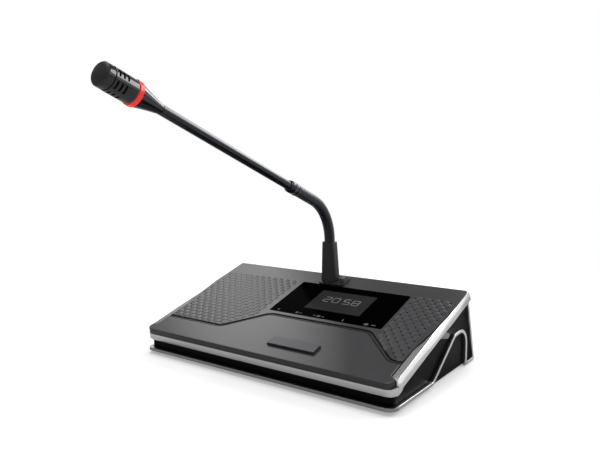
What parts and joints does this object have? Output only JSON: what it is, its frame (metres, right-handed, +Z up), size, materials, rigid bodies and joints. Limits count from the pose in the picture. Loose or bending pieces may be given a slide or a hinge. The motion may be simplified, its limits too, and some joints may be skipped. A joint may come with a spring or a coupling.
{
  "type": "conference delegate unit",
  "caption": "Wedge-shaped conference desk unit with a display window, talk button, speaker grille and a plug-in gooseneck microphone with a red light ring.",
  "frame": {"origin": "middle of the bounding box's bottom face, on the table under the unit", "axes": "+Z up, the talk button's front edge faces -Y, +X to the user's right"},
  "size_m": [0.215, 0.2417, 0.1953],
  "materials": {
    "dark_grey_plastic": "fine matt dark grey moulding",
    "key_plastic": "satin dark grey key",
    "black_plastic": "satin black moulding",
    "silver_trim": "bright silver plated plastic trim",
    "display_window": "gloss black window",
    "lcd": "dark display glass",
    "circuit_board": "green circuit board",
    "plain_steel": "plain steel",
    "socket_brass": "turned brass",
    "neck_black": "satin black gooseneck",
    "stem_black": "black anodised aluminium",
    "red_lens": "red translucent ring",
    "grille_black": "matt black front cap",
    "black_rubber": "black rubber",
    "paper_cone": "dark paper cone",
    "flat_cable": "grey flat cable"
  },
  "bodies": {
    "base": {"top_cover": "dark_grey_plastic", "trim_frame": "silver_trim", "display_window": "display_window", "lcd_module": "lcd", "display_board": "circuit_board", "talk_switch": "black_plastic", "talk_board": "circuit_board", "socket_collar": "dark_grey_plastic", "mic_socket": "socket_brass", "base_tray": "black_plastic", "rear_panel": "black_plastic", "side_cheek_left": "black_plastic", "side_cheek_right": "black_plastic", "side_ribbon_left": "silver_trim", "side_ribbon_right": "silver_trim", "front_ribbon": "silver_trim", "data_socket_left": "black_plastic", "data_socket_right": "black_plastic", "phone_jack": "black_plastic", "ballast_plate": "plain_steel", "main_board": "circuit_board", "speaker_basket": "plain_steel", "speaker_cone": "paper_cone", "speaker_magnet": "plain_steel", "display_cable": "flat_cable", "foot_front_left": "black_rubber", "foot_front_right": "black_rubber", "foot_rear_left": "black_rubber", "foot_rear_right": "black_rubber", "screw_front_left": "plain_steel", "screw_front_right": "plain_steel", "screw_rear_left": "plain_steel", "screw_rear_right": "plain_steel"},
    "talk_key": {"talk_button": "key_plastic"},
    "release_key": {"release_button": "black_plastic"},
    "mic_foot": {"mic_plug": "plain_steel", "mic_boot": "black_rubber", "neck_root": "neck_black"},
    "neck_1": {"neck_link_1": "neck_black"},
    "neck_2": {"neck_link_2": "neck_black"},
    "neck_3": {"neck_link_3": "neck_black"},
    "neck_4": {"neck_link_4": "neck_black"},
    "neck_5": {"neck_link_5": "neck_black"},
    "neck_6": {"neck_link_6": "neck_black"},
    "neck_7": {"neck_link_7": "neck_black"},
    "mic_head": {"neck_end": "neck_black", "neck_ferrule": "stem_black", "stem_tube": "stem_black", "head_cone": "stem_black", "light_ring": "red_lens", "head_barrel": "stem_black", "mic_capsule": "plain_steel", "front_cap": "grille_black"}
  },
  "joints": [
    {"name": "talk_press", "type": "slide", "parent": "base", "child": "talk_key", "axis": [0, 0.2985, -0.9544], "range_m": [0, 0.0008], "stiffness_N_per_m": 900, "springref_m": -0.0006},
    {"name": "release_press", "type": "slide", "parent": "base", "child": "release_key", "axis": [0, 0.2985, -0.9544], "range_m": [0, 0.0008], "stiffness_N_per_m": 600, "springref_m": -0.0006},
    {"name": "mic_unplug", "type": "slide", "parent": "base", "child": "mic_foot", "axis": [0, 0, 1], "range_m": [0, 0.02]},
    {"name": "neck_bend_1", "type": "hinge", "parent": "mic_foot", "child": "neck_1", "pos_m": [-0.004, 0.09227, 0.08795], "axis": [1, 0, 0], "range_deg": [-11.5, 6.7]},
    {"name": "neck_bend_2", "type": "hinge", "parent": "neck_1", "child": "neck_2", "pos_m": [-0.004, 0.09038, 0.09553], "axis": [1, 0, 0], "range_deg": [-11.51, 6.71]},
    {"name": "neck_sway_1", "type": "hinge", "parent": "neck_2", "child": "neck_3", "pos_m": [-0.004, 0.08691, 0.10253], "axis": [0, -0.8434, -0.5373], "range_deg": [-14, 14]},
    {"name": "neck_bend_4", "type": "hinge", "parent": "neck_3", "child": "neck_4", "pos_m": [-0.004, 0.08203, 0.10862], "axis": [1, 0, 0], "range_deg": [-11.51, 6.71]},
    {"name": "neck_bend_5", "type": "hinge", "parent": "neck_4", "child": "neck_5", "pos_m": [-0.004, 0.07597, 0.11354], "axis": [1, 0, 0], "range_deg": [-11.51, 6.71]},
    {"name": "neck_sway_2", "type": "hinge", "parent": "neck_5", "child": "neck_6", "pos_m": [-0.004, 0.06899, 0.11705], "axis": [0, -0.4053, -0.9142], "range_deg": [-14, 14]},
    {"name": "neck_bend_7", "type": "hinge", "parent": "neck_6", "child": "neck_7", "pos_m": [-0.004, 0.06169, 0.11987], "axis": [1, 0, 0], "range_deg": [-11.51, 6.71]},
    {"name": "neck_bend_8", "type": "hinge", "parent": "neck_7", "child": "mic_head", "pos_m": [-0.004, 0.05439, 0.12269], "axis": [1, 0, 0], "range_deg": [-11.51, 6.71]}
  ],
  "couplings": [
    {"joint": "neck_bend_2", "follows": "neck_bend_1", "ratio": 1},
    {"joint": "neck_bend_4", "follows": "neck_bend_1", "ratio": 1},
    {"joint": "neck_bend_5", "follows": "neck_bend_1", "ratio": 1},
    {"joint": "neck_bend_7", "follows": "neck_bend_1", "ratio": 1},
    {"joint": "neck_bend_8", "follows": "neck_bend_1", "ratio": 1},
    {"joint": "neck_sway_2", "follows": "neck_sway_1", "ratio": 1}
  ]
}
